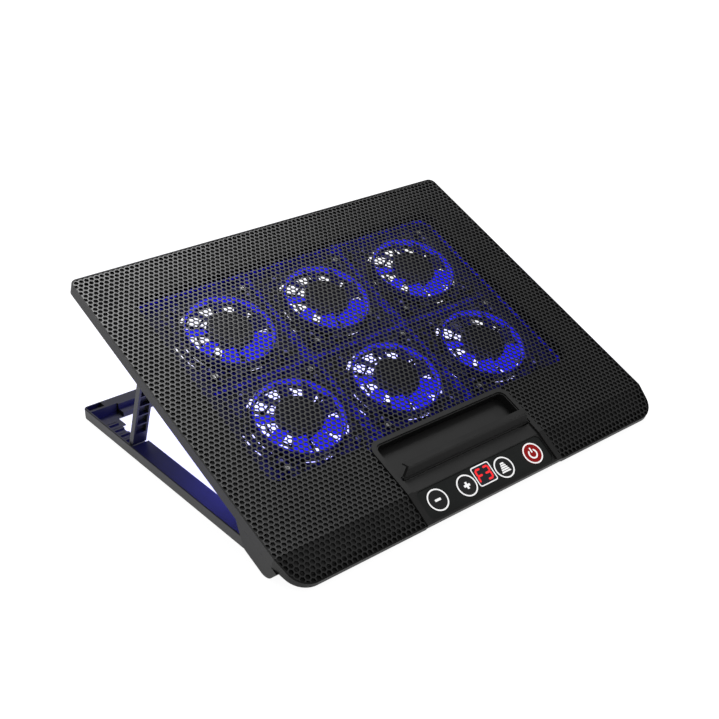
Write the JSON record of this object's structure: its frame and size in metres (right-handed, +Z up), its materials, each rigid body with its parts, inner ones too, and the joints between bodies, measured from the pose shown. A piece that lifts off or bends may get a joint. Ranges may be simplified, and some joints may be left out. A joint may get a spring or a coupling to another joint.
{
  "type": "laptop cooling pad",
  "caption": "Slim laptop cooling pad on a folding height stand, with blue-lit fans under a hexagonal metal mesh, a control strip with display and a folding laptop stop.",
  "frame": {"origin": "middle of the footprint, on the surface that the pad stands on", "axes": "+X to the user's right along the pad's width, +Y towards the raised back edge, +Z up"},
  "size_m": [0.38, 0.3046, 0.1327],
  "materials": {
    "casing_plastic": "fine moulded texture",
    "stand_plastic": "fine moulded texture",
    "mesh_metal": "satin powder coat",
    "panel_plastic": "satin",
    "face_plastic": "satin",
    "button_black": "satin",
    "button_red": "satin",
    "display_glass": "clear dark",
    "display_red": "lit",
    "board_green": "solder mask",
    "steel": "zinc plated",
    "rubber_black": "matte",
    "led_blue": "lit",
    "wire_black": "matte",
    "fan_plastic": "moulded",
    "fan_blade": "smoky moulded",
    "motor_metal": "coated core"
  },
  "bodies": {
    "base": {"base_frame": "stand_plastic", "base_feet": "rubber_black"},
    "pad": {"upper_frame": "casing_plastic", "bottom_shell": "casing_plastic", "cheek_left": "casing_plastic", "cheek_right": "casing_plastic", "top_mesh": "mesh_metal", "control_housing": "panel_plastic", "control_face": "face_plastic", "display_window": "display_glass", "display_module": "display_red", "control_board": "board_green", "dome_switches": "steel", "case_screws": "steel", "fan_screws": "steel", "hinge_pins": "steel", "leg_pins": "steel", "stop_pins": "steel", "usb_board": "board_green", "usb_sockets": "steel", "fan_leds": "led_blue", "wire_loom": "wire_black", "fan_frame_1": "fan_plastic", "fan_frame_2": "fan_plastic", "fan_frame_3": "fan_plastic", "fan_frame_4": "fan_plastic", "fan_frame_5": "fan_plastic", "fan_frame_6": "fan_plastic", "fan_motor_1": "motor_metal", "fan_motor_2": "motor_metal", "fan_motor_3": "motor_metal", "fan_motor_4": "motor_metal", "fan_motor_5": "motor_metal", "fan_motor_6": "motor_metal"},
    "leg_left": {"leg_left": "stand_plastic"},
    "leg_right": {"leg_right": "stand_plastic"},
    "laptop_stop": {"laptop_stop": "panel_plastic"},
    "button_minus": {"button_minus": "button_black"},
    "button_plus": {"button_plus": "button_black"},
    "button_mode": {"button_mode": "button_black"},
    "button_power": {"button_power": "button_red"},
    "fan_rotor_1": {"fan_rotor_1": "fan_blade"},
    "fan_rotor_2": {"fan_rotor_2": "fan_blade"},
    "fan_rotor_3": {"fan_rotor_3": "fan_blade"},
    "fan_rotor_4": {"fan_rotor_4": "fan_blade"},
    "fan_rotor_5": {"fan_rotor_5": "fan_blade"},
    "fan_rotor_6": {"fan_rotor_6": "fan_blade"}
  },
  "joints": [
    {"name": "pad_tilt", "type": "hinge", "parent": "base", "child": "pad", "pos_m": [0, -0.11742, 0.0063], "axis": [1, 0, 0], "range_deg": [-22.85, 0]},
    {"name": "leg_left_fold", "type": "hinge", "parent": "pad", "child": "leg_left", "pos_m": [0, 0.04924, 0.08412], "axis": [1, 0, 0], "range_deg": [-0.1, 97.6]},
    {"name": "leg_right_fold", "type": "hinge", "parent": "pad", "child": "leg_right", "pos_m": [0, 0.04924, 0.08412], "axis": [1, 0, 0], "range_deg": [-0.1, 97.6]},
    {"name": "laptop_stop_fold", "type": "hinge", "parent": "pad", "child": "laptop_stop", "pos_m": [0, -0.11701, 0.02568], "axis": [1, 0, 0], "range_deg": [-60, 0]},
    {"name": "button_minus_press", "type": "slide", "parent": "pad", "child": "button_minus", "axis": [0, 0.5645, -0.8254], "range_m": [0, 0.0004], "stiffness_N_per_m": 800},
    {"name": "button_plus_press", "type": "slide", "parent": "pad", "child": "button_plus", "axis": [0, 0.5645, -0.8254], "range_m": [0, 0.0004], "stiffness_N_per_m": 800},
    {"name": "button_mode_press", "type": "slide", "parent": "pad", "child": "button_mode", "axis": [0, 0.5645, -0.8254], "range_m": [0, 0.0004], "stiffness_N_per_m": 800},
    {"name": "button_power_press", "type": "slide", "parent": "pad", "child": "button_power", "axis": [0, 0.5645, -0.8254], "range_m": [0, 0.0004], "stiffness_N_per_m": 800},
    {"name": "fan_1_spin", "type": "hinge", "parent": "pad", "child": "fan_rotor_1", "pos_m": [-0.0965, 0.05536, 0.08942], "axis": [0, -0.3883, 0.9215], "continuous": true},
    {"name": "fan_2_spin", "type": "hinge", "parent": "pad", "child": "fan_rotor_2", "pos_m": [0, 0.05536, 0.08942], "axis": [0, -0.3883, 0.9215], "continuous": true},
    {"name": "fan_3_spin", "type": "hinge", "parent": "pad", "child": "fan_rotor_3", "pos_m": [0.0965, 0.05536, 0.08942], "axis": [0, -0.3883, 0.9215], "continuous": true},
    {"name": "fan_4_spin", "type": "hinge", "parent": "pad", "child": "fan_rotor_4", "pos_m": [-0.0965, -0.03402, 0.05175], "axis": [0, -0.3883, 0.9215], "continuous": true},
    {"name": "fan_5_spin", "type": "hinge", "parent": "pad", "child": "fan_rotor_5", "pos_m": [0, -0.03402, 0.05175], "axis": [0, -0.3883, 0.9215], "continuous": true},
    {"name": "fan_6_spin", "type": "hinge", "parent": "pad", "child": "fan_rotor_6", "pos_m": [0.0965, -0.03402, 0.05175], "axis": [0, -0.3883, 0.9215], "continuous": true}
  ],
  "couplings": [
    {"joint": "leg_left_fold", "follows": "pad_tilt", "ratio": -4.267},
    {"joint": "leg_right_fold", "follows": "pad_tilt", "ratio": -4.267}
  ]
}
